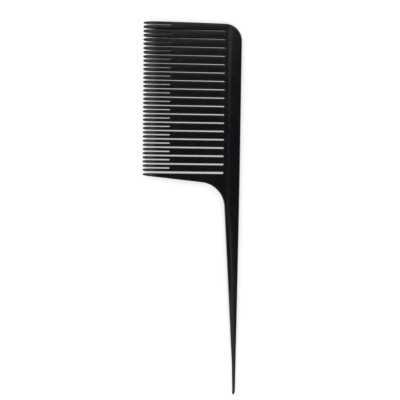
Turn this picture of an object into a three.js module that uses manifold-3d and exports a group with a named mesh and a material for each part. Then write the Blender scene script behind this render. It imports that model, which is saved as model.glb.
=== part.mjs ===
// Rat tail comb for weaving and highlighting hair, moulded in one piece of black plastic.
// A thick spine carries eighteen tines, each forked into two prongs, and a solid end tooth. A heel
// turns the spine into the long tapering tail. The moulding is built as these working features, which
// meet face to face, so that every gap that hair passes through stays open.
//
// The comb lies flat on z = 0, in millimetres. X runs from the head end to the tip of the tail, the teeth
// point towards -Y, and the origin is under the centre of the outline.

import * as THREE from "three";
import { mergeVertices } from "three/addons/utils/BufferGeometryUtils.js";
import Module from "manifold-3d";

const wasm = await Module();
wasm.setup();

// Driving dimensions.
const COMB_LENGTH = 240;
const COMB_WIDTH = 62.4;
const SPINE_THICKNESS = 5.4;
const TOOTH_THICKNESS = 4.9;

const TINE_COUNT = 18;
const TINE_PITCH = 5.28;
const ROOT_GAP = 0.98;
const FORK_GAP = 0.86;
const SHORT_GAP = 0.76;
const LAST_GAP = 1.2;
const TOOTH_LENGTH = 51.95;
const FORK_LENGTH = 17.15;
const TOOTH_BEVEL = 0.3;
const THICKNESS_TAPER = 10;
const TIP_THICKNESS = 0.7;
const WIDTH_TAPER = 3.5;
const TIP_NARROWING = 0.4;
const TIP_ROUNDING = 0.7;
const TIP_ROUNDNESS = 0.97;

const FLANK_START = 2.2;
const FLANK_WIDTH = 3.4;
const CORNER_RADIUS = 10.8;
const HEAD_END_TRIM = 0.35;
const HEAD_END_DRAFT = 0.08;
const RIM_SIZE = 1.1;
const RIM_DEPTH = 1.7;

const END_TOOTH_LENGTH = 38;
const END_TOOTH_TIP_WIDTH = 1.5;
const END_TOOTH_SLOPE = 0.105;
const HEEL_RADIUS = 16.5;

const TAIL_EDGE_SLOPE = 0.062;
const TAIL_BACK_SLOPE = -0.003;
const TAIL_END_WIDTH = 1.85;
const TAIL_END_TAPER = 0.035;
const TAIL_END_THICKNESS = 2;
const TAIL_THINNING = 1.4;
const TAIL_POINT_LENGTH = 1.8;
const TAIL_POINT_OFFSET = 0.35;
const TAIL_BEND_LENGTH = 4;
const TAIL_POINT_ROUNDNESS = 0.9;
const TAIL_SQUARENESS = 0.72;

// How finely the curved shapes are faceted.
const PRONG_STEPS = 8;
const END_TOOTH_STEPS = 11;
const TIP_CROWDING = 2.2;
const FLANK_STEPS = 2;
const TAIL_CORNERS = 20;
const TAIL_STEPS = 26;
const TAIL_CROWDING = 2;

// How far a plate or bar runs past the place where it is cut.
const SPARE = 5;

// Places worked out from the driving dimensions.
const MID_Z = SPINE_THICKNESS / 2;
const HEAD_X = -COMB_LENGTH / 2;
const TAIL_TIP_X = COMB_LENGTH / 2;
const BACK_Y = COMB_WIDTH / 2;
const TIPS_Y = -COMB_WIDTH / 2;
const ROOT_Y = TIPS_Y + TOOTH_LENGTH;
const FORK_Y = TIPS_Y + FORK_LENGTH;
const TINE_WIDTH = TINE_PITCH - FORK_GAP;
const FIRST_TINE_X = HEAD_X - HEAD_END_TRIM + TINE_WIDTH / 2;
const HEEL_X = FIRST_TINE_X + (TINE_COUNT - 1) * TINE_PITCH + TINE_WIDTH / 2 + LAST_GAP;
const END_TOOTH_ROOT_Y = TIPS_Y + END_TOOTH_LENGTH;
const END_TOOTH_EDGE_X = HEEL_X + END_TOOTH_TIP_WIDTH + END_TOOTH_SLOPE * END_TOOTH_LENGTH;

// The heel's hollow curve is an arc that leaves the end tooth's outer edge and runs into the tail's edge.
const ARC_FROM = Math.atan(END_TOOTH_SLOPE);
const ARC_TO = Math.PI / 2 - Math.atan(TAIL_EDGE_SLOPE);
const ARC_X = END_TOOTH_EDGE_X + HEEL_RADIUS * Math.cos(ARC_FROM);
const ARC_Y = END_TOOTH_ROOT_Y - HEEL_RADIUS * Math.sin(ARC_FROM);
const TAIL_X = ARC_X - HEEL_RADIUS * Math.cos(ARC_TO);
const TAIL_EDGE_Y = ARC_Y + HEEL_RADIUS * Math.sin(ARC_TO);

const PLASTIC = { color: 0x17181a, roughness: 0.2, metalness: 0 };

/** Extrudes an outline by one unit and puts each point (u, v, t), with t along the sweep, in its place. */
function sweep(outline, steps, place) {
  const geometry = new THREE.ExtrudeGeometry(outline, { depth: 1, steps, bevelEnabled: false });
  const positions = geometry.getAttribute("position");
  for (let i = 0; i < positions.count; i += 1) {
    const [x, y, z] = place(positions.getX(i), positions.getY(i), positions.getZ(i));
    positions.setXYZ(i, x, y, z);
  }
  geometry.computeVertexNormals();
  return geometry;
}

/** Extrudes an outline through the comb's thickness, centred on its mid plane, with a rounded rim. */
function rimmedPlate(outline, thickness, rimSize, rimDepth) {
  const geometry = new THREE.ExtrudeGeometry(outline, {
    depth: thickness - 2 * rimDepth,
    curveSegments: 16,
    bevelThickness: rimDepth,
    bevelSize: rimSize,
    bevelOffset: -rimSize,
    bevelSegments: 3,
  });
  geometry.translate(0, 0, MID_Z - thickness / 2 + rimDepth);
  return geometry;
}

/** Turns a closed geometry into a solid that can be cut. */
function solidOf(geometry) {
  const bare = geometry.clone();
  bare.deleteAttribute("normal");
  bare.deleteAttribute("uv");
  const merged = mergeVertices(bare, 1e-4);
  return new wasm.Manifold(
    new wasm.Mesh({
      numProp: 3,
      vertProperties: merged.getAttribute("position").array,
      triVerts: Uint32Array.from(merged.getIndex().array),
    }),
  );
}

/** Turns a solid back into a geometry. */
function geometryOf(solid) {
  const mesh = solid.getMesh();
  const geometry = new THREE.BufferGeometry();
  geometry.setAttribute("position", new THREE.BufferAttribute(mesh.vertProperties, 3));
  geometry.setIndex(new THREE.BufferAttribute(mesh.triVerts, 1));
  geometry.computeVertexNormals();
  return geometry;
}

function outlineThrough(points) {
  return new THREE.Shape(points.map(([x, y]) => new THREE.Vector2(x, y)));
}

/** The head's profile from a place by the teeth to the back: level, up the hollow flank, and level. */
function flankedProfile(fromY) {
  const thin = TOOTH_THICKNESS / 2;
  const thick = SPINE_THICKNESS / 2;
  const upper = [[fromY, thin]];
  for (let step = 0; step <= FLANK_STEPS; step += 1) {
    const share = step / FLANK_STEPS;
    const rise = 1 - (1 - share) ** 2;
    upper.push([ROOT_Y + FLANK_START + FLANK_WIDTH * share, thin + (thick - thin) * rise]);
  }
  upper.push([BACK_Y + SPARE, thick]);
  const lower = upper.map(([y, z]) => [y, -z]);
  return [...lower, ...upper.reverse()];
}

/** The bar of the flanked profile between two stations along the comb. */
function flankedBar(fromX, toX, fromY) {
  return sweep(outlineThrough(flankedProfile(fromY)), 1, (y, z, t) => [
    fromX + (toX - fromX) * t,
    y,
    MID_Z + z,
  ]);
}

/** A tooth's section, with |u| and |v| of 1 on its sides and faces, and a half where a bevel begins. */
function toothSection() {
  return outlineThrough([
    [-1, -0.5],
    [-0.5, -1],
    [0.5, -1],
    [1, -0.5],
    [1, 0.5],
    [0.5, 1],
    [-0.5, 1],
    [-1, 0.5],
  ]);
}

/** Where a point of the section lies across a tooth of this half size, with its bevel at its real size. */
function acrossTooth(unit, half) {
  const bevel = Math.min(TOOTH_BEVEL, half / 2);
  return Math.sign(unit) * (half - 2 * bevel * (1 - Math.abs(unit)));
}

/** A rounded end's size at a distance from it, as a share of the full size. It ends in a small flat. */
function roundEnd(distance, length, roundness) {
  const left = 1 - Math.min(distance / length, 1);
  return Math.sqrt(1 - roundness * left * left);
}

/** How far a tooth has grown to its full width at a distance from its tip. */
function widthShare(distance) {
  const left = 1 - Math.min(distance / WIDTH_TAPER, 1);
  return roundEnd(distance, TIP_ROUNDING, TIP_ROUNDNESS) * (1 - TIP_NARROWING * left * left);
}

/** The thickness of a tooth at a distance from its tip, which grows ever more slowly to its full value. */
function toothThickness(distance) {
  const left = 1 - Math.min(distance / THICKNESS_TAPER, 1);
  return TOOTH_THICKNESS - (TOOTH_THICKNESS - TIP_THICKNESS) * left * left;
}

/** The middle of a tine, numbered from 0 at the head end. */
function tineX(index) {
  return FIRST_TINE_X + index * TINE_PITCH;
}

/** How much narrower the first tine is on its outer side, from the tips to its root. */
function outerTrim(index, side) {
  return index === 0 && side < 0 ? HEAD_END_TRIM : 0;
}

/** The solid part of a tine, from its root on the spine to the fork, with its sides drafted. */
function tineShank(index) {
  const gapDraft = (ROOT_GAP - FORK_GAP) / 2;
  return sweep(toothSection(), 1, (u, v, t) => {
    const draft = index === 0 && u < 0 ? HEAD_END_DRAFT : gapDraft;
    const half = TINE_WIDTH / 2 - outerTrim(index, u) - draft * (1 - t);
    const y = ROOT_Y + (FORK_Y - ROOT_Y) * t;
    return [tineX(index) + acrossTooth(u, half), y, MID_Z + acrossTooth(v, TOOTH_THICKNESS / 2)];
  });
}

/** A tapering tooth. Its sides, before they draw in to the tip, are given for a distance from the tip. */
function taperedTooth(length, steps, sides) {
  return sweep(toothSection(), steps, (u, v, t) => {
    const distance = length * (1 - t) ** TIP_CROWDING;
    const [low, high] = sides(distance);
    const half = ((high - low) / 2) * widthShare(distance);
    const z = MID_Z + acrossTooth(v, toothThickness(distance) / 2);
    return [(low + high) / 2 + acrossTooth(u, half), TIPS_Y + distance, z];
  });
}

/** One prong of a fork, on the head side (-1) or the tail side (1) of its tine. */
function tineProng(index, side) {
  const inner = tineX(index) + (side * SHORT_GAP) / 2;
  const outer = tineX(index) + side * (TINE_WIDTH / 2 - outerTrim(index, side));
  const edges = side < 0 ? [outer, inner] : [inner, outer];
  return taperedTooth(FORK_LENGTH, PRONG_STEPS, () => edges);
}

/** The end tooth, whose outer edge spreads towards the heel. */
function endTooth() {
  return taperedTooth(END_TOOTH_LENGTH, END_TOOTH_STEPS, (distance) => [
    HEEL_X,
    HEEL_X + END_TOOTH_TIP_WIDTH + END_TOOTH_SLOPE * distance,
  ]);
}

/** The spine, with a rounded corner at the head end and a flank that slopes down to the teeth. */
function spine() {
  const cornerX = HEAD_X + HEAD_END_DRAFT;
  const centreX = cornerX + CORNER_RADIUS;
  const outline = new THREE.Shape();
  outline.moveTo(cornerX, ROOT_Y - SPARE);
  outline.lineTo(HEEL_X + SPARE, ROOT_Y - SPARE);
  outline.lineTo(HEEL_X + SPARE, BACK_Y);
  outline.lineTo(centreX, BACK_Y);
  outline.absarc(centreX, BACK_Y - CORNER_RADIUS, CORNER_RADIUS, Math.PI / 2, Math.PI, false);
  const plate = rimmedPlate(outline, SPINE_THICKNESS, RIM_SIZE, RIM_DEPTH);
  const bar = flankedBar(HEAD_X - SPARE, HEEL_X, ROOT_Y);
  return geometryOf(solidOf(plate).intersect(solidOf(bar)));
}

/** The back edge of the heel and tail, which narrows very slightly from the spine. */
function backEdgeY(x) {
  return BACK_Y + TAIL_BACK_SLOPE * (x - HEEL_X);
}

/** The heel, which joins the end tooth, the spine and the tail around a hollow quarter curve. */
function heel() {
  const outline = new THREE.Shape();
  outline.moveTo(HEEL_X - SPARE, END_TOOTH_ROOT_Y - SPARE);
  outline.lineTo(END_TOOTH_EDGE_X - SPARE * END_TOOTH_SLOPE, END_TOOTH_ROOT_Y - SPARE);
  outline.lineTo(END_TOOTH_EDGE_X, END_TOOTH_ROOT_Y);
  outline.absarc(ARC_X, ARC_Y, HEEL_RADIUS, Math.PI - ARC_FROM, Math.PI - ARC_TO, true);
  outline.lineTo(TAIL_X + SPARE, TAIL_EDGE_Y + SPARE * TAIL_EDGE_SLOPE);
  outline.lineTo(TAIL_X + SPARE, backEdgeY(TAIL_X + SPARE));
  outline.lineTo(HEEL_X, BACK_Y);
  outline.lineTo(HEEL_X - SPARE, BACK_Y);
  const plate = rimmedPlate(outline, SPINE_THICKNESS, RIM_SIZE, RIM_DEPTH);
  const bar = flankedBar(HEEL_X, TAIL_X, END_TOOTH_ROOT_Y);
  return geometryOf(solidOf(plate).intersect(solidOf(bar)));
}

/** The tail's section, a rounded square one unit wide and high. */
function tailSection() {
  const points = [];
  for (let corner = 0; corner < TAIL_CORNERS; corner += 1) {
    const angle = (2 * Math.PI * (corner + 0.5)) / TAIL_CORNERS;
    const [u, v] = [Math.cos(angle), Math.sin(angle)].map(
      (place) => (Math.sign(place) * Math.abs(place) ** TAIL_SQUARENESS) / 2,
    );
    points.push([u, v]);
  }
  return outlineThrough(points);
}

/** The tail, an oval rod that tapers in width and thickness to a rounded point near its back edge. */
function tail() {
  const length = TAIL_TIP_X - TAIL_X;
  return sweep(tailSection(), TAIL_STEPS, (u, v, t) => {
    const distance = length * (1 - t) ** TAIL_CROWDING;
    const x = TAIL_TIP_X - distance;
    const back = backEdgeY(x);
    const straight = back - TAIL_EDGE_Y - TAIL_EDGE_SLOPE * (x - TAIL_X);
    const width = Math.max(straight, TAIL_END_WIDTH + TAIL_END_TAPER * distance);
    const thinned = (1 - distance / length) ** TAIL_THINNING;
    const thickness = SPINE_THICKNESS - (SPINE_THICKNESS - TAIL_END_THICKNESS) * thinned;
    const round = roundEnd(distance, TAIL_POINT_LENGTH, TAIL_POINT_ROUNDNESS);
    const bend = TAIL_POINT_OFFSET * Math.max(1 - distance / TAIL_BEND_LENGTH, 0) ** 2;
    return [x, back - width / 2 - bend + u * width * round, MID_Z + v * thickness * round];
  });
}

const comb = new THREE.Group();

function addFeature(name, geometry) {
  const mesh = new THREE.Mesh(geometry, new THREE.MeshStandardMaterial(PLASTIC));
  mesh.name = name;
  comb.add(mesh);
}

addFeature("spine", spine());
addFeature("heel", heel());
addFeature("tail", tail());
addFeature("end_tooth", endTooth());
for (let index = 0; index < TINE_COUNT; index += 1) {
  const tine = `tine_${String(index + 1).padStart(2, "0")}`;
  addFeature(`${tine}_shank`, tineShank(index));
  addFeature(`${tine}_prong_head_side`, tineProng(index, -1));
  addFeature(`${tine}_prong_tail_side`, tineProng(index, 1));
}

export default comb;
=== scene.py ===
import math

import bpy
import numpy as np
from mathutils import Euler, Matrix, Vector


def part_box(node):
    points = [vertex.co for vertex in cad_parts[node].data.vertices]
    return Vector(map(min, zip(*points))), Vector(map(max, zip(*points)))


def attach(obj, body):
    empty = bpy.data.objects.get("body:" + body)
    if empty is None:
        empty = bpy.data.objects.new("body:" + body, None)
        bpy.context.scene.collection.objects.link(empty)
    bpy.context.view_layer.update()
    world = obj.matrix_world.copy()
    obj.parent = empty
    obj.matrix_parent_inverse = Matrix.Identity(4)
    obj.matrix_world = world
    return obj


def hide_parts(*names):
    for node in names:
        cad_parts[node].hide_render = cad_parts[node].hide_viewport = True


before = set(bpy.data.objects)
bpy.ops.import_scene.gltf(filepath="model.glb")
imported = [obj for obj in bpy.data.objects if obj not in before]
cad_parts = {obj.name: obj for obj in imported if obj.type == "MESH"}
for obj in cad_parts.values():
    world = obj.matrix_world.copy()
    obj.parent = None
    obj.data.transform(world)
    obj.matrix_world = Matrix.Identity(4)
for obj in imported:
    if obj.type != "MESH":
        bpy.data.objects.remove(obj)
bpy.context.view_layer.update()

# The comb lies flat, as its CAD does: X from the head end to the tip of the tail, the teeth towards -Y, and
# Z up through its thickness. Shapes are worked out in millimetres here and made in metres.
MM = 0.001


def box(node):
    """A CAD node's lowest and highest corners, in millimetres."""
    low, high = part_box(node)
    return np.array(low) / MM, np.array(high) / MM


# ---------------------------------------------------------------------------------------- the frame

TINE_COUNT = 18
spine_low, spine_high = box("spine")
heel_low = box("heel")[0]
tail_low, tail_high = box("tail")
tooth_low, tooth_high = box("end_tooth")
shanks = [box(f"tine_{n:02d}_shank") for n in range(1, TINE_COUNT + 1)]
prongs = [
    [box(f"tine_{n:02d}_prong_{side}_side") for side in ("head", "tail")]
    for n in range(1, TINE_COUNT + 1)
]

MID_Z = (spine_low[2] + spine_high[2]) / 2
SPINE_HALF = (spine_high[2] - spine_low[2]) / 2
TOOTH_HALF = (tooth_high[2] - tooth_low[2]) / 2
BACK_Y = spine_high[1]
ROOT_Y = spine_low[1]
TIPS_Y = tooth_low[1]
FORK_Y = shanks[1][0][1]
HEEL_X = heel_low[0]
HEEL_Y = heel_low[1]
TAIL_X = tail_low[0]
TAIL_EDGE_Y = tail_low[1]
TIP_X = tail_high[0]

TINE_HALF = (shanks[1][1][0] - shanks[1][0][0]) / 2
PRONG_HALF = (prongs[1][0][1][0] - prongs[1][0][0][0]) / 2
HEAD_X = prongs[0][0][0][0]
HEAD_END_DRAFT = spine_low[0] - HEAD_X
HEAD_END_TRIM = 2 * TINE_HALF - (prongs[0][1][1][0] - HEAD_X)
SHORT_GAP = 2 * (TINE_HALF - 2 * PRONG_HALF)
FORK_GAP = shanks[2][0][0] - shanks[1][1][0]
TINE_PITCH = 2 * TINE_HALF + FORK_GAP

# ---------------------------------------------------------------------------- sizes of the moulding

# The gaps, the walls and their corners. A corner is how far it reaches in and how far it reaches down.
ROOT_GAP = 0.98
WALL_DRAFT = 0.006
TOOTH_CORNER = (0.28, 0.3)
RIM_CORNER = (1.1, 1.5)
CORNER_LIMIT = 0.6
CROWN = 0.02
CROWN_GROWTH = 0.5

# The flank, from the roots of the long gaps up to the spine's flat strip.
FLANK_LOW = 1.9
FLANK_WIDTH = 3.1
FLANK_BLEND = 0.14
FLANK_FOOT_POWER = 1.5

# The rounded corner of the head, and the heel's hollow.
CORNER_RADIUS = 10.8
HEAD_JOIN = 1.5
HEEL_RADIUS = 16.5

# The teeth towards their tips.
THICKNESS_TAPER = 10.0
TIP_HALF = 0.35
TIP_NOSE = 0.5
WIDTH_TAPER = 3.5
TIP_NARROWING = 0.4
TIP_ROUNDING = 0.7
END_TOOTH_TIP = 1.5
END_TOOTH_SLOPE = 0.105

# The tail: its outline and its point, then how its section changes from the heel on.
TAIL_EDGE_SLOPE = 0.062
TAIL_END_HALF = 1.0
TAIL_END_WIDTH = 1.85
TAIL_END_TAPER = 0.035
TAIL_THINNING = 1.4
TAIL_POINT = 1.8
TAIL_BEND = 4.0
TAIL_POINT_OFFSET = 0.35
TAIL_MORPH_START = 45.0
TAIL_MORPH = 75.0
TAIL_LEVELLING_START = 25.0
TAIL_LEVELLING = 55.0
TAIL_FLANK_SHIFT = 1.6
TAIL_FLANK_SHIFTING = 25.0

# Where a face counts as the wall of a gap, and the sharpest angle that is shaded smooth, in degrees.
WALL_FROM_TIP = 1.0
WALL_SEARCH = 0.6
STEEP = 0.3
SHARP_ANGLE = 40

# How finely the shapes are drawn, and the grid on which points are welded together.
CORNER_STEPS = 4
HALF_COLUMNS = 3
PRONG_STATIONS = 18
FORK_TURNS = 6
SHANK_STATIONS = 10
END_TOOTH_COLUMNS = 6
END_TOOTH_STATIONS = 26
GAP_TURNS = 8
SPINE_ROWS = 18
HEEL_GAP_COLUMNS = 10
HEEL_SEAM_COLUMNS = 9
HEEL_BACK_COLUMNS = 18
HEEL_ROWS = 22
TAIL_COLUMNS = 16
TAIL_STATIONS = 60
TIP_CROWDING = 2.2
TAIL_CROWDING = 2
WELD = 0.00137

ROOT_RADIUS = ROOT_GAP / 2
SEAM_Y = ROOT_Y - ROOT_RADIUS
FORK_RADIUS = SHORT_GAP / 2
FORK_CENTRE_Y = FORK_Y - FORK_RADIUS


def eased(t):
    """A rise from 0 to 1 that starts steep and ends level."""
    return 1 - (1 - min(max(t, 0.0), 1.0)) ** 2


def smooth(t):
    """A rise from 0 to 1 that starts and ends level."""
    t = np.clip(t, 0, 1)
    return t * t * (3 - 2 * t)


def head_half(y):
    """Half the head's thickness: level over the teeth, then up the hollow flank to the spine."""
    share = (y - ROOT_Y - FLANK_LOW) / FLANK_WIDTH
    start = min(max(share / FLANK_BLEND, 0.0), 1.0)
    rise = eased(share) if share > FLANK_BLEND else eased(FLANK_BLEND) * start**FLANK_FOOT_POWER
    return float(TOOTH_HALF + (SPINE_HALF - TOOTH_HALF) * rise)


def edge_steps(half, corner):
    """(inset, height) from the parting line up a barely drafted wall and round the corner to the face."""
    reach = min(corner[1], CORNER_LIMIT * half)
    inset = corner[0] * reach / corner[1]
    wall = half - reach
    draft = wall * WALL_DRAFT
    steps = [(0.0, 0.0), (draft, wall)]
    for k in range(1, CORNER_STEPS + 1):
        turn = k * math.pi / 2 / CORNER_STEPS
        steps.append((draft + inset * (1 - math.cos(turn)), wall + reach * math.sin(turn)))
    return steps


def blend_corner(share):
    """The rounding of an edge between a tooth's and the outer rim's."""
    return tuple(a + (b - a) * share for a, b in zip(TOOTH_CORNER, RIM_CORNER))


def between(a, b, share):
    return tuple(p + (q - p) * share for p, q in zip(a, b))


# --------------------------------------------------------------------------------- building a piece


def wall_kind(face):
    """0 for the skin, 1 for a wall of a long gap, 2 for a wall of a fork.

    The first fork is as glossy as the skin, so its walls are 0 too.
    """
    x, y = face.center.x / MM, face.center.y / MM
    between_tines = HEAD_X + WALL_SEARCH < x < HEEL_X + WALL_SEARCH
    from_tine = (x - tine_middle(1)) / TINE_PITCH
    in_fork = abs(from_tine - round(from_tine)) * TINE_PITCH < SHORT_GAP
    steep = abs(face.normal.z) < STEEP
    if not (steep and between_tines and TIPS_Y + WALL_FROM_TIP < y < ROOT_Y):
        return 0
    if in_fork:
        return 2 if x > HEAD_X + TINE_PITCH else 0
    return 1


class Skin:
    """The upper skin of a piece, welded from patches.

    A patch is rows of (x, y, height over the parting plane).
    """

    def __init__(self):
        self.points = []
        self.index = {}
        self.faces = []

    def vertex(self, point):
        key = tuple(int(round(c / WELD)) for c in point)
        if key not in self.index:
            self.index[key] = len(self.points)
            self.points.append(point)
        return self.index[key]

    def patch(self, rows):
        ids = [[self.vertex(p) for p in row] for row in rows]
        loops = []
        area = 0.0
        for i in range(len(ids) - 1):
            for j in range(len(ids[0]) - 1):
                loop = [ids[i][j], ids[i + 1][j], ids[i + 1][j + 1], ids[i][j + 1]]
                corners = [self.points[v] for v in loop]
                area += sum(
                    a[0] * b[1] - a[1] * b[0] for a, b in zip(corners, corners[1:] + corners[:1])
                )
                loop = [v for k, v in enumerate(loop) if v != loop[k - 1]]
                if len(set(loop)) > 2:
                    loops.append(loop)
        self.faces += [loop[::-1] for loop in loops] if area < 0 else loops

    def solid(self, name, material, *wall_materials):
        """Mirrors the skin about the parting plane, closes the seams and makes the piece."""
        count = len(self.points)
        mirror = list(range(count))
        points = list(self.points)
        for v, (x, y, height) in enumerate(self.points):
            if height > WELD:
                mirror[v] = len(points)
                points.append((x, y, -height))
        sides = {}
        for loop in self.faces:
            for a, b in zip(loop, loop[1:] + loop[:1]):
                sides[(a, b)] = True
        faces = self.faces + [[mirror[v] for v in loop[::-1]] for loop in self.faces]
        for a, b in sides:
            if (b, a) in sides or (mirror[a] == a and mirror[b] == b):
                continue
            loop = [b, a, mirror[a], mirror[b]]
            faces.append([v for k, v in enumerate(loop) if v != loop[k - 1]])
        mesh = bpy.data.meshes.new(name)
        placed = [(x * MM, y * MM, (MID_Z + z) * MM) for x, y, z in points]
        mesh.from_pydata(placed, [], faces)
        mesh.validate()
        mesh.shade_smooth()
        mesh.set_sharp_from_angle(angle=math.radians(SHARP_ANGLE))
        for plastic in (material, *wall_materials):
            mesh.materials.append(plastic)
        if wall_materials:
            for face in mesh.polygons:
                face.material_index = wall_kind(face)
        piece = bpy.data.objects.new(name, mesh)
        bpy.context.scene.collection.objects.link(piece)
        return piece


def place(piece, *nodes):
    """Puts a piece in place of its CAD nodes."""
    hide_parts(*nodes)
    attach(piece, "root")


# ---------------------------------------------------------------------------------------- the teeth


def tooth_half(distance):
    """Half a tooth's thickness at a distance from its tip: a curved wedge with a rounded nose."""
    nose = 1 - min(distance / TIP_NOSE, 1)
    grown = TIP_HALF + (TOOTH_HALF - TIP_HALF) * eased(distance / THICKNESS_TAPER)
    return grown * math.sqrt(1 - nose * nose)


def width_share(distance):
    """How far a tooth has grown to its full width at a distance from its tip."""
    rounding = 1 - min(distance / TIP_ROUNDING, 1)
    narrowing = TIP_NARROWING * (1 - eased(distance / WIDTH_TAPER))
    return math.sqrt(1 - rounding * rounding) * (1 - narrowing)


def tip_stations(length, count):
    """Distances from a tip, close together where it is round."""
    return [length * (k / count) ** TIP_CROWDING for k in range(count + 1)]


def across(low, high, half, columns):
    """A section across a tooth, from one side to the other, as (place, height) pairs."""
    scale = min(1.0, (high - low) / (2 * PRONG_HALF))
    edge = edge_steps(half, (TOOTH_CORNER[0] * scale, TOOTH_CORNER[1]))
    start, end = low + edge[-1][0], high - edge[-1][0]
    flat = [(start + (end - start) * (k / columns), half) for k in range(1, columns)]
    return [(low + i, h) for i, h in edge] + flat + [(high - i, h) for i, h in reversed(edge)]


def half_tine(skin, middle, side, outer, outer_draft, rim_share):
    """One half of a forked tine, from the prong's tip to the seam with the spine."""
    inner = SHORT_GAP / 2
    centre = (inner + outer) / 2

    def at(a, y, h):
        return (middle + side * a, y, h)

    rows = []
    for distance in tip_stations(FORK_CENTRE_Y - TIPS_Y, PRONG_STATIONS):
        half = tooth_half(distance)
        reach = (outer - inner) / 2 * width_share(distance)
        section = across(centre - reach, centre + reach, half, HALF_COLUMNS)
        rows.append([at(a, TIPS_Y + distance, h) for a, h in section])
    edge = edge_steps(TOOTH_HALF, TOOTH_CORNER)
    face = edge[-1][0]
    for k in range(1, FORK_TURNS + 1):
        turn = k * math.pi / 2 / FORK_TURNS
        ring = [
            at((inner + i) * math.cos(turn), FORK_CENTRE_Y + (inner + i) * math.sin(turn), h)
            for i, h in edge
        ]
        y = FORK_CENTRE_Y + (inner + face) * math.sin(turn)
        side_edge = [at(outer - i, y, h) for i, h in reversed(edge)]
        flat = [between(ring[-1], side_edge[0], j / HALF_COLUMNS) for j in range(1, HALF_COLUMNS)]
        rows.append(ring + flat + side_edge)
    skin.patch(rows)

    start = FORK_CENTRE_Y + inner + face
    length = SEAM_Y - start
    rows = []
    for k in range(SHANK_STATIONS + 1):
        share = k / SHANK_STATIONS
        grown = float(smooth(share / CROWN_GROWTH))
        edge = edge_steps(TOOTH_HALF, blend_corner(rim_share * share**2))
        reach = outer - outer_draft * share
        y = start + length * share
        section = [(reach - i, h) for i, h in reversed(edge)]
        row = []
        for j in range(HALF_COLUMNS):
            a = section[0][0] * j / HALF_COLUMNS
            row.append(at(a, y, TOOTH_HALF + crown_height(a / section[0][0]) * grown))
        rows.append(row + [at(a, y, h) for a, h in section])
    skin.patch(rows)


def crown_height(place_across):
    """The slight crown on a tine's face, at a place between -1 and 1 across it."""
    return CROWN * (1 - place_across**2)


def tine_middle(number):
    """The middle of a tine's short gap."""
    return prongs[number - 1][1][1][0] - TINE_HALF


def tine_side(number, side):
    """How far a tine's side stands from its middle, and how much nearer it is at the root.

    The first tine is narrower on its outer side, which is the end of the head.
    """
    if number == 1 and side < 0:
        return TINE_HALF - HEAD_END_TRIM, HEAD_END_DRAFT
    return TINE_HALF, (ROOT_GAP - FORK_GAP) / 2


def tine(number, material, wall_materials):
    """A forked tine with its two prongs."""
    skin = Skin()
    for side in (-1, 1):
        rim_share = 1.0 if number == 1 and side < 0 else 0.0
        half_tine(skin, tine_middle(number), side, *tine_side(number, side), rim_share)
    name = f"tine_{number:02d}"
    piece = skin.solid(name, material, *wall_materials)
    place(piece, f"{name}_shank", f"{name}_prong_head_side", f"{name}_prong_tail_side")


def end_tooth(material, wall_materials):
    """The end tooth, which widens towards the heel."""
    length = HEEL_Y - TIPS_Y
    rows = []
    for distance in tip_stations(length, END_TOOTH_STATIONS):
        width = END_TOOTH_TIP + END_TOOTH_SLOPE * distance
        reach = width / 2 * width_share(distance)
        centre = HEEL_X + width / 2
        section = across(centre - reach, centre + reach, tooth_half(distance), END_TOOTH_COLUMNS)
        rows.append([(x, TIPS_Y + distance, h) for x, h in section])
    skin = Skin()
    skin.patch(rows)
    place(skin.solid("moulded_end_tooth", material, *wall_materials), "end_tooth")


# ---------------------------------------------------------------------------------------- the spine


def tine_root(number):
    """A tine's middle, and the places of its two sides at its seam with the spine."""
    middle = tine_middle(number)
    low_half, low_draft = tine_side(number, -1)
    high_half, high_draft = tine_side(number, 1)
    return middle, middle - low_half + low_draft, middle + high_half - high_draft


LAST_ROOT_X = tine_root(TINE_COUNT)[2]
SPINE_END_X = (LAST_ROOT_X + HEEL_X) / 2
LAST_RADIUS = HEEL_X - SPINE_END_X


def gap_ring(centre_x, radius, first, last):
    """The rounded end of a gap between two tines, as rows round it from one turn to another."""
    edge = edge_steps(TOOTH_HALF, TOOTH_CORNER)
    rows = []
    for k in range(first, last + 1):
        turn = math.pi * (1 - k / GAP_TURNS)
        rows.append(
            [
                (
                    centre_x + (radius + i) * math.cos(turn),
                    SEAM_Y + (ROOT_RADIUS + i) * math.sin(turn),
                    h,
                )
                for i, h in edge
            ]
        )
    return rows


def head_outline(travel):
    """A point of the head's outer edge, and the direction into the head, at a distance along it."""
    start_x = tine_root(1)[1]
    centre_x, centre_y = start_x + CORNER_RADIUS, BACK_Y - CORNER_RADIUS
    straight = centre_y - SEAM_Y
    curve = CORNER_RADIUS * math.pi / 2
    if travel <= straight:
        return (start_x, SEAM_Y + travel), (1.0, 0.0)
    if travel <= straight + curve:
        turn = (travel - straight) / CORNER_RADIUS
        inward = (math.cos(turn), -math.sin(turn))
        return (
            centre_x - CORNER_RADIUS * inward[0],
            centre_y - CORNER_RADIUS * inward[1],
        ), inward
    return (centre_x + travel - straight - curve, BACK_Y), (0.0, -1.0)


def rim(point, inward, corner=RIM_CORNER):
    """The steps of the outer rim at one point of the outline."""
    steps = []
    for i, h in edge_steps(head_half(point[1]), corner):
        x, y = point[0] + inward[0] * i, point[1] + inward[1] * i
        steps.append((x, y, h * head_half(y) / head_half(point[1])))
    return steps


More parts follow.
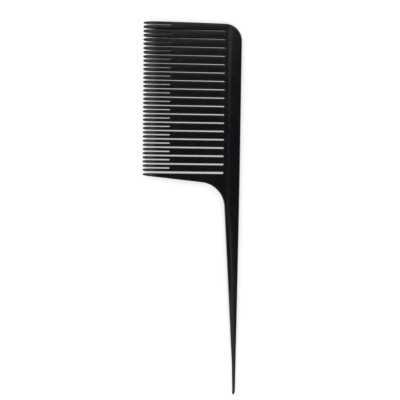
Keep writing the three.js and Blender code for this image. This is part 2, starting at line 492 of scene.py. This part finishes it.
def spine(material, wall_materials):
    """The spine, from the rounded corner at the head end to the middle of the last gap."""
    skin = Skin()
    lower = []
    face = edge_steps(TOOTH_HALF, TOOTH_CORNER)[-1][0]
    for number in range(1, TINE_COUNT + 1):
        middle, low, high = tine_root(number)
        first_face = edge_steps(TOOTH_HALF, RIM_CORNER)[-1][0] if number == 1 else face
        left, right = middle - low - first_face, high - middle - face
        for j in range(HALF_COLUMNS, 0, -1):
            share = j / HALF_COLUMNS
            lower.append((middle - left * share, SEAM_Y, crown_height(share)))
        for j in range(HALF_COLUMNS + 1):
            share = j / HALF_COLUMNS
            lower.append((middle + right * share, SEAM_Y, crown_height(share)))
        is_last = number == TINE_COUNT
        next_low = HEEL_X if is_last else tine_root(number + 1)[1]
        last_turn = GAP_TURNS // 2 if is_last else GAP_TURNS
        rows = gap_ring((high + next_low) / 2, (next_low - high) / 2, 0, last_turn)
        skin.patch(rows)
        inner = [row[-1] for row in rows]
        lower += [(x, y, 0.0) for x, y, _ in (inner[1:] if is_last else inner[1:-1])]

    join_x = lower[0][0] + HEAD_JOIN * CORNER_RADIUS
    start_x = tine_root(1)[1]
    join_travel = BACK_Y - CORNER_RADIUS - SEAM_Y + CORNER_RADIUS * (math.pi / 2 - 1) + join_x - start_x
    rims = []
    for x, _, _ in lower:
        if x < join_x:
            travel = join_travel * (x - lower[0][0]) / (join_x - lower[0][0])
        else:
            travel = join_travel + x - join_x
        rims.append(rim(*head_outline(travel)))
    skin.patch(rims)

    columns = []
    for (x, y, crown), steps in zip(lower, rims):
        top = steps[-1]
        column = []
        for k in range(SPINE_ROWS + 1):
            share = k / SPINE_ROWS
            px, py = x + (top[0] - x) * share, y + (top[1] - y) * share
            fade = 1 - float(smooth((py - SEAM_Y) / (ROOT_Y + FLANK_LOW - SEAM_Y)))
            column.append((px, py, head_half(py) + crown * fade * (1 - share)))
        columns.append(column)
    skin.patch(columns)
    place(skin.solid("moulded_spine", material, *wall_materials), "spine")


# ----------------------------------------------------------------------------------------- the heel


def back_edge_y(x):
    """The back edge narrows very slightly from the heel to the tail."""
    return BACK_Y + (tail_high[1] - BACK_Y) * (x - HEEL_X) / (TAIL_X - HEEL_X)


def heel(material, wall_materials):
    """The heel, fanned out from its hollow curve to the last gap, the spine and the back edge."""
    slope = math.atan(END_TOOTH_SLOPE)
    edge_x = HEEL_X + END_TOOTH_TIP + END_TOOTH_SLOPE * (HEEL_Y - TIPS_Y)
    centre_x = edge_x + HEEL_RADIUS * math.cos(slope)
    centre_y = HEEL_Y - HEEL_RADIUS * math.sin(slope)
    turn_start = math.pi - slope
    turn_end = math.acos((TAIL_X - centre_x) / HEEL_RADIUS)

    columns = HEEL_GAP_COLUMNS + GAP_TURNS // 2 + HEEL_SEAM_COLUMNS + HEEL_BACK_COLUMNS
    skin = Skin()

    edge = edge_steps(TOOTH_HALF, TOOTH_CORNER)
    hollow = []
    for k in range(columns + 1):
        share = k / columns
        turn = turn_start + (turn_end - turn_start) * share
        hollow.append(
            [
                (
                    centre_x + (HEEL_RADIUS + i) * math.cos(turn),
                    centre_y + (HEEL_RADIUS + i) * math.sin(turn),
                    h,
                )
                for i, h in edge
            ]
        )
    skin.patch(hollow)

    gap_side = []
    for k in range(HEEL_GAP_COLUMNS):
        y = HEEL_Y + (SEAM_Y - HEEL_Y) * k / HEEL_GAP_COLUMNS
        gap_side.append([(HEEL_X + i, y, h) for i, h in edge])
    gap_side += gap_ring(SPINE_END_X, LAST_RADIUS, GAP_TURNS // 2, GAP_TURNS)[::-1]
    skin.patch(gap_side)

    back = []
    for k in range(HEEL_BACK_COLUMNS + 1):
        x = SPINE_END_X + (TAIL_X - SPINE_END_X) * k / HEEL_BACK_COLUMNS
        point = (x, BACK_Y if x < HEEL_X else back_edge_y(x))
        back.append(rim(point, (0.0, -1.0)))
    skin.patch(back)

    far = [row[-1] for row in gap_side]
    seam_low, seam_high = far[-1], back[0][-1]
    for k in range(1, HEEL_SEAM_COLUMNS):
        far.append(between(seam_low, seam_high, k / HEEL_SEAM_COLUMNS))
    far += [row[-1] for row in back]
    rows = []
    for near_steps, far_point in zip(hollow, far):
        near = near_steps[-1]
        row = []
        for k in range(HEEL_ROWS + 1):
            x, y, _ = between(near, far_point, k / HEEL_ROWS)
            row.append((x, y, head_half(y)))
        rows.append(row)
    skin.patch(rows)
    place(skin.solid("moulded_heel", material, *wall_materials), "heel")


# ----------------------------------------------------------------------------------------- the tail


def tail(material):
    """The tail, whose section turns from the spine's flanked bar into an oval rod with a rounded point."""
    length = TIP_X - TAIL_X
    first_width = back_edge_y(TAIL_X) - TAIL_EDGE_Y
    rows = []
    for k in range(TAIL_STATIONS + 1):
        distance = length * (k / TAIL_STATIONS) ** TAIL_CROWDING
        x = TIP_X - distance
        high = back_edge_y(x)
        straight = high - TAIL_EDGE_Y - TAIL_EDGE_SLOPE * (x - TAIL_X)
        width = max(straight, TAIL_END_WIDTH + TAIL_END_TAPER * distance)
        centre = high - width / 2
        point = 1 - min(distance / TAIL_POINT, 1)
        narrow = math.sqrt(1 - point * point)
        bend = TAIL_POINT_OFFSET * (1 - min(distance / TAIL_BEND, 1)) ** 2
        half = SPINE_HALF - (SPINE_HALF - TAIL_END_HALF) * (1 - distance / length) ** TAIL_THINNING
        oval = float(smooth((x - TAIL_X - TAIL_MORPH_START) / TAIL_MORPH))
        level = float(smooth((x - TAIL_X - TAIL_LEVELLING_START) / TAIL_LEVELLING))
        shift = TAIL_FLANK_SHIFT * float(smooth((x - TAIL_X) / TAIL_FLANK_SHIFTING))
        section = tail_section(width, first_width, half, shift, level, oval)
        rows.append([(x, centre - bend + y * narrow, h * narrow) for y, h in section])
    skin = Skin()
    skin.patch(rows)
    place(skin.solid("moulded_tail", material), "tail")


def tail_section(width, first_width, half, shift, level, oval):
    """Half of the tail's section about its centre: the spine's bar, levelled, and blended into an oval."""
    squeeze = width / first_width
    low_half = TOOTH_HALF + (SPINE_HALF - TOOTH_HALF) * level
    low = edge_steps(low_half, TOOTH_CORNER)
    high = edge_steps(SPINE_HALF, RIM_CORNER)
    bar = [(-first_width / 2 + i, h) for i, h in low]
    start, end = bar[-1][0], first_width / 2 - high[-1][0]
    for k in range(1, TAIL_COLUMNS):
        place_across = start + (end - start) * k / TAIL_COLUMNS
        flank = head_half(back_edge_y(TAIL_X) - first_width / 2 + place_across - shift)
        bar.append((place_across, flank + (SPINE_HALF - flank) * level))
    bar += [(first_width / 2 - i, h) for i, h in reversed(high)]
    section = []
    for k, (y, h) in enumerate(bar):
        turn = math.pi * k / (len(bar) - 1)
        rod = (-width / 2 * math.cos(turn), half * math.sin(turn))
        section.append(between((y * squeeze, h * half / SPINE_HALF), rod, oval))
    return section


# ------------------------------------------------------------------------------------- the material


class Nodes:
    """A short way to write the node tree of a material or a world."""

    def __init__(self, owner, shader):
        owner.use_nodes = True
        self.owner = owner
        self.tree = owner.node_tree
        self.shader = self.tree.nodes[shader]

    def join(self, value, socket):
        """Gives a socket a value, or links another node's output to it."""
        if isinstance(value, bpy.types.NodeSocket):
            self.tree.links.new(value, socket)
        else:
            socket.default_value = value

    def add(self, kind, inputs=None, **settings):
        node = self.tree.nodes.new(kind)
        for key, value in settings.items():
            setattr(node, key, value)
        for key, value in (inputs or {}).items():
            self.join(value, node.inputs[key])
        return node

    def noise(self, scale, detail=2.0, stretch=(1, 1, 1), rough=0.5):
        """Noise over the object's own coordinates, at this many features in a metre."""
        coordinates = self.add("ShaderNodeTexCoord").outputs["Object"]
        mapping = self.add("ShaderNodeMapping", {"Vector": coordinates, "Scale": stretch})
        node = self.add(
            "ShaderNodeTexNoise",
            {"Vector": mapping.outputs["Vector"], "Scale": scale, "Detail": detail, "Roughness": rough},
        )
        return node.outputs["Fac"]

    def along_comb(self):
        """The place along the comb, in metres."""
        coordinates = self.add("ShaderNodeTexCoord").outputs["Object"]
        return self.add("ShaderNodeSeparateXYZ", {"Vector": coordinates}).outputs["X"]

    def spread(self, value, from_low, from_high, to_low, to_high):
        """Maps one range onto another, and holds the value at its ends."""
        node = self.add(
            "ShaderNodeMapRange",
            {0: value, 1: from_low, 2: from_high, 3: to_low, 4: to_high},
            clamp=True,
        )
        return node.outputs[0]

    def soft_step(self, value, low, high):
        """A smooth rise from 0 to 1 between two values."""
        node = self.add(
            "ShaderNodeMapRange", {0: value, 1: low, 2: high}, interpolation_type="SMOOTHSTEP"
        )
        return node.outputs[0]

    def mix(self, factor, first, second):
        """Blends two colours."""
        node = self.add("ShaderNodeMix", data_type="RGBA")
        for index, value in ((0, factor), (6, first), (7, second)):
            self.join(value, node.inputs[index])
        return node.outputs[2]

    def maths(self, operation, a, b=0.0):
        return self.add("ShaderNodeMath", {0: a, 1: b}, operation=operation).outputs[0]


# Base colours of the plastic and of its worn edges.
SKIN_DARK, SKIN_LIGHT = (0.0019, 0.0024, 0.0030, 1), (0.0027, 0.0034, 0.0041, 1)
WALL_LIGHT = (0.0032, 0.0038, 0.0045, 1)
WORN_COLOUR = (0.0095, 0.0103, 0.011, 1)

# How many features each texture has in a metre, and how far some are drawn out.
CLOUDS = 140
GLOSS_CLOUDS = 320
WORN_PATCHES = 900
HAIRLINES = 60
GRAIN = 3800
WAVES = 90
DRAG_MARKS = 700
FLOOR_CLOUDS = 6
HAIRLINE_STRETCH = 45.0
DRAG_STRETCH = (1.0, 1.0, 0.2)

# The stretch of each texture's values that shows, and how strongly worn edges show between patches.
CLOUD_RANGE = (0.35, 0.65)
GLOSS_CLOUD_RANGE = (0.3, 0.7)
WORN_PATCH_RANGE = (0.45, 0.7)
WORN_SHARE = (0.1, 0.7)
WORN_EDGES = (0.52, 0.62)
HAIRLINE_RANGE = (0.62, 0.72)

# How high the textures stand or how deep they go, in metres.
GRAIN_HEIGHT = 0.000006
WAVE_HEIGHT = 0.00005
DRAG_HEIGHT = 0.00001
TOOTH_SCRATCH_DEPTH = 0.0000015
LONG_SCRATCH_DEPTH = 0.000002

# Lowest and highest roughness of the skin and of the gaps' walls, what scratches and wear add, and gloss.
SATIN = (0.16, 0.22)
MATT = (0.8, 0.95)
HALF_MATT = (0.5, 0.6)
SCRATCHED = 0.08
WORN = 0.12
MOULDED_GLOSS = 0.5
HANDLED_GLOSS = 0.37
MATT_GLOSS = 0.1
HALF_MATT_GLOSS = 0.3

# What comes off the tail's roughness along its first stretch, from rougher than the heel to smoother.
RUBBED_SMOOTH = (-0.045, 0.045)
RUBBED_OVER = (TAIL_X, TAIL_X + 60.0)

# How far from the joint of heel and tail worn edges begin, and are whole. The joint itself has no edge.
UNRUBBED = (4.5, 9.0)


def moulded_plastic(name, along, scratch_depth, gloss, handled=False):
    """Black moulded plastic: faint clouding, a fine texture, hairline scratches and rubbed edges."""
    n = Nodes(bpy.data.materials.new(name), "Principled BSDF")
    cloud = n.noise(CLOUDS, 3)
    colour = n.mix(n.spread(cloud, *CLOUD_RANGE, 0, 1), SKIN_DARK, SKIN_LIGHT)
    edge = n.add("ShaderNodeNewGeometry").outputs["Pointiness"]
    rubbed = n.spread(edge, *WORN_EDGES, 0, 1)
    from_seam = n.maths("ABSOLUTE", n.maths("SUBTRACT", n.along_comb(), TAIL_X * MM))
    rubbed = n.maths("MULTIPLY", rubbed, n.spread(from_seam, *(x * MM for x in UNRUBBED), 0, 1))
    patches = n.spread(n.noise(WORN_PATCHES, 3), *WORN_PATCH_RANGE, *WORN_SHARE)
    patchy = n.maths("MULTIPLY", rubbed, patches)
    colour = n.mix(patchy, colour, WORN_COLOUR)
    n.join(colour, n.shader.inputs["Base Color"])

    stretch = tuple(1.0 if axis == along else HAIRLINE_STRETCH for axis in "XYZ")
    hairs = n.noise(HAIRLINES, 4, stretch, 0.65)
    scratches = n.spread(hairs, *HAIRLINE_RANGE, 0, 1)
    clouded = n.spread(n.noise(GLOSS_CLOUDS, 3), *GLOSS_CLOUD_RANGE, *SATIN)
    if handled:
        rubbing = n.spread(n.along_comb(), *(x * MM for x in RUBBED_OVER), *RUBBED_SMOOTH)
        clouded = n.maths("SUBTRACT", clouded, rubbing)
    roughness = n.maths("ADD", clouded, n.maths("MULTIPLY", scratches, SCRATCHED))
    roughness = n.maths("ADD", roughness, n.maths("MULTIPLY", patchy, WORN))
    n.join(roughness, n.shader.inputs["Roughness"])

    grain = n.noise(GRAIN, 2)
    waves = n.noise(WAVES, 2)
    height = n.maths("MULTIPLY", grain, GRAIN_HEIGHT)
    height = n.maths("ADD", height, n.maths("MULTIPLY", waves, WAVE_HEIGHT))
    height = n.maths("SUBTRACT", height, n.maths("MULTIPLY", scratches, scratch_depth))
    bump = n.add("ShaderNodeBump", {"Height": height, "Strength": 1.0, "Distance": 1.0})
    n.join(bump.outputs["Normal"], n.shader.inputs["Normal"])
    n.shader.inputs["IOR"].default_value = 1.5
    n.shader.inputs["Specular IOR Level"].default_value = gloss
    return n.owner


def gap_plastic(name, satin, gloss):
    """The walls of the gaps, which the mould's thin blades leave duller, with faint drag marks."""
    n = Nodes(bpy.data.materials.new(name), "Principled BSDF")
    drag = n.noise(DRAG_MARKS, 3, DRAG_STRETCH)
    colour = n.mix(n.spread(drag, *CLOUD_RANGE, 0, 1), SKIN_DARK, WALL_LIGHT)
    n.join(colour, n.shader.inputs["Base Color"])
    n.join(n.spread(drag, *GLOSS_CLOUD_RANGE, *satin), n.shader.inputs["Roughness"])
    height = n.maths("MULTIPLY", drag, DRAG_HEIGHT)
    bump = n.add("ShaderNodeBump", {"Height": height, "Distance": 1.0})
    n.join(bump.outputs["Normal"], n.shader.inputs["Normal"])
    n.shader.inputs["Specular IOR Level"].default_value = gloss
    return n.owner


FLOOR_SHADES = ((0.85, 0.85, 0.85, 1), (0.87, 0.87, 0.87, 1))
FLOOR_ROUGHNESS = 0.7
FLOOR_GLOW = 0.52
FLOOR_REACH = 6.0


def pale_floor():
    """A white, faintly glowing table, so that the floor stays pale even between the teeth."""
    n = Nodes(bpy.data.materials.new("pale_floor"), "Principled BSDF")
    n.join(n.mix(n.noise(FLOOR_CLOUDS, 2), *FLOOR_SHADES), n.shader.inputs["Base Color"])
    n.shader.inputs["Roughness"].default_value = FLOOR_ROUGHNESS
    n.shader.inputs["Emission Color"].default_value = (1.0, 1.0, 1.0, 1)
    n.shader.inputs["Emission Strength"].default_value = FLOOR_GLOW
    return n.owner


# -------------------------------------------------------------------------- camera, light and stage


# The camera: its sensor and lens, how near and far it sees in metres, and its place and turn.
SENSOR_WIDTH = 36.0
LENS = 55.8
CAMERA_CLIP = (0.01, 20)
CAMERA_PLACE = (-32.56, -20.62, 399.66)
CAMERA_TURN = (-3.569, -3.767, 90.721)


def camera():
    """A camera nearly straight above, with the head end of the comb up in the picture."""
    data = bpy.data.cameras.new("camera")
    data.sensor_width = SENSOR_WIDTH
    data.lens = LENS
    data.clip_start, data.clip_end = CAMERA_CLIP
    item = bpy.data.objects.new("camera", data)
    item.location = Vector(CAMERA_PLACE) * MM
    item.rotation_euler = Euler([math.radians(a) for a in CAMERA_TURN])
    bpy.context.scene.collection.objects.link(item)
    bpy.context.scene.camera = item


# The studio is a white tent with a dark opening above the comb. The opening is a parabola that widens
# towards the back, given by the tangents of its directions from straight up. It closes well above the
# horizon, and so does the tent's dimmer band, so the backdrop is plain and pale from every side.
OPENING_FRONT = 0.255
OPENING_SPREAD = 0.17
OPENING_EDGE = (-0.10, 0.11)
OPENING_CLOSES = (0.34, 0.45)
OPENING_COLOUR = (0.060, 0.069, 0.081, 1)
TENT_COLOUR = (1.0, 1.0, 1.0, 1)
TENT_HEIGHTS = ((0.0, 1.0), (0.3, 1.0), (0.4, 0.45), (0.58, 0.45), (0.7, 1.0))
LOWEST_HEIGHT = 0.01


def tent_light():
    """The tent's brightness in every direction, as the world."""
    world = bpy.data.worlds.new("world")
    n = Nodes(world, "Background")
    direction = n.add("ShaderNodeTexCoord").outputs["Generated"]
    split = n.add("ShaderNodeSeparateXYZ", {0: direction})
    up = n.maths("MAXIMUM", split.outputs["Z"], LOWEST_HEIGHT)
    sideways = n.maths("DIVIDE", split.outputs["X"], up)
    backwards = n.maths("DIVIDE", split.outputs["Y"], up)
    curve = n.maths("DIVIDE", n.maths("MULTIPLY", sideways, sideways), OPENING_SPREAD)
    outside = n.maths("SUBTRACT", curve, n.maths("ADD", backwards, OPENING_FRONT))
    beside = n.soft_step(outside, *OPENING_EDGE)
    below = n.maths("SUBTRACT", 1.0, n.soft_step(split.outputs["Z"], *OPENING_CLOSES))
    tent = n.maths("MAXIMUM", beside, below)
    n.join(n.mix(tent, OPENING_COLOUR, TENT_COLOUR), n.shader.inputs["Color"])

    wall = n.add("ShaderNodeValToRGB", {0: split.outputs["Z"]})
    wall.color_ramp.interpolation = "EASE"
    steps = wall.color_ramp.elements
    while len(steps) < len(TENT_HEIGHTS):
        steps.new(0.5)
    for step, (height, light) in zip(steps, TENT_HEIGHTS):
        step.position = height
        step.color = (light, light, light, 1)
    n.join(wall.outputs[0], n.shader.inputs["Strength"])
    bpy.context.scene.world = world


def studio():
    """A pale floor inside the tent."""
    mesh = bpy.data.meshes.new("floor")
    around = ((-1, -1), (1, -1), (1, 1), (-1, 1))
    corners = [(x * FLOOR_REACH, y * FLOOR_REACH, 0) for x, y in around]
    mesh.from_pydata(corners, [], [(0, 1, 2, 3)])
    mesh.materials.append(pale_floor())
    floor = bpy.data.objects.new("floor", mesh)
    bpy.context.scene.collection.objects.link(floor)
    tent_light()
    bpy.context.scene.view_settings.view_transform = "Standard"


camera()
studio()
wall_plastics = (
    gap_plastic("gap_plastic", MATT, MATT_GLOSS),
    gap_plastic("fork_plastic", HALF_MATT, HALF_MATT_GLOSS),
)
tooth_plastic = moulded_plastic("tooth_plastic", "Y", TOOTH_SCRATCH_DEPTH, MOULDED_GLOSS)
spine_plastic = moulded_plastic("spine_plastic", "X", LONG_SCRATCH_DEPTH, MOULDED_GLOSS)
tail_plastic = moulded_plastic("tail_plastic", "X", LONG_SCRATCH_DEPTH, HANDLED_GLOSS, handled=True)
for number in range(1, TINE_COUNT + 1):
    tine(number, tooth_plastic, wall_plastics)
end_tooth(tooth_plastic, wall_plastics)
spine(spine_plastic, wall_plastics)
heel(spine_plastic, wall_plastics)
tail(tail_plastic)
